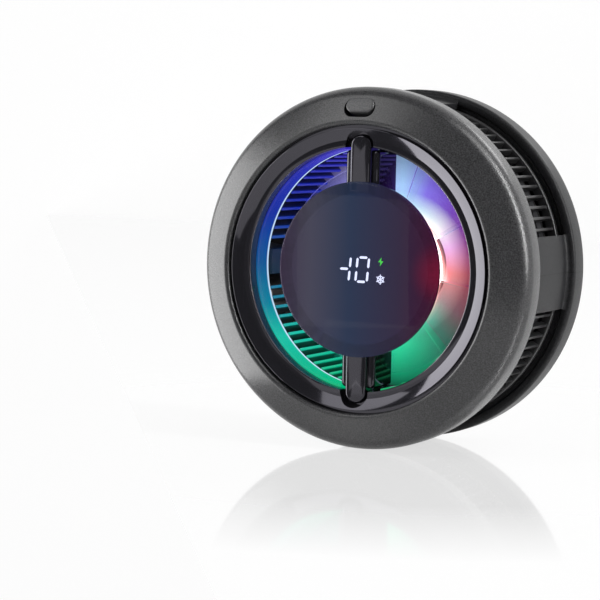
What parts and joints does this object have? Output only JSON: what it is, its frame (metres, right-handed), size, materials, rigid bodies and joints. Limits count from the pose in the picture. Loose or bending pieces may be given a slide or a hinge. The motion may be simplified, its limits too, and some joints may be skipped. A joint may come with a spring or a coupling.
{
  "type": "phone cooling fan",
  "caption": "Round magnetic thermoelectric phone cooler with a lit fan inlet, a central round display on two arms, side exhaust slots, a power button and a flat contact pad.",
  "frame": {"origin": "centre of the contact pad's face that lies on the phone", "axes": "+Y is the fan's axis, pointing out of the contact pad into the phone; +Z points to 12 o'clock, where the button is; the front with the display faces -Y"},
  "size_m": [0.066, 0.0302, 0.066],
  "materials": {
    "housing": "fine-textured dark grey moulding",
    "grille": "dark grey moulding",
    "gloss_black": "polished black moulding",
    "lens": "smoked, polished",
    "light_guide": "clear, lit from behind",
    "clear_fan": "clear, lit by the diodes",
    "black_plastic": "plain black moulding",
    "silicone": "smooth matt silicone",
    "magnet": "nickel-plated",
    "steel": "plain",
    "copper": "enamelled copper wire",
    "ferrite": "sintered",
    "aluminium": "extruded and milled",
    "ceramic": "fired alumina",
    "solder": "sintered pellets",
    "foam": "closed-cell foam",
    "board": "solder mask",
    "bronze": "sintered bronze",
    "led": "white package",
    "segment": "lit white",
    "screw": "black oxide",
    "epoxy": "dipped bead"
  },
  "bodies": {
    "root": {"rear_housing": "housing", "contact_pad": "silicone", "magnet_ring": "magnet", "magnet_yoke": "steel", "charging_coil": "copper", "ferrite_sheet": "ferrite", "cold_plate": "aluminium", "temperature_probe": "epoxy", "tec_cold_plate": "ceramic", "tec_pellets": "solder", "tec_hot_plate": "ceramic", "insulation_ring": "foam", "heat_sink": "aluminium", "usb_board": "board", "usb_socket": "steel", "usb_tongue": "black_plastic", "exhaust_grille": "grille", "fan_base": "black_plastic", "fan_board": "board", "bearing_sleeve": "bronze", "stator_core": "steel", "stator_windings": "copper", "fan_frame": "black_plastic", "ring_board": "board", "rgb_leds": "led", "light_guide": "light_guide", "display_pod": "gloss_black", "display_board": "board", "display_segments": "segment", "display_lens": "lens", "inlet_ring": "gloss_black", "button_board": "board", "button_switch": "steel", "front_bezel": "housing", "case_screws": "screw", "frame_screws": "screw", "pod_screws": "screw"},
    "rotor": {"impeller": "clear_fan", "rotor_yoke": "steel", "rotor_magnet": "ferrite", "shaft": "steel"},
    "button": {"button_cap": "housing", "switch_plunger": "black_plastic"}
  },
  "joints": [
    {"name": "fan_spin", "type": "hinge", "parent": "root", "child": "rotor", "pos_m": [0, -0.016, 0], "axis": [0, 1, 0], "continuous": true},
    {"name": "button_press", "type": "slide", "parent": "root", "child": "button", "axis": [0, 1, 0], "range_m": [0, 0.0004], "stiffness_N_per_m": 600, "springref_m": -0.001}
  ]
}
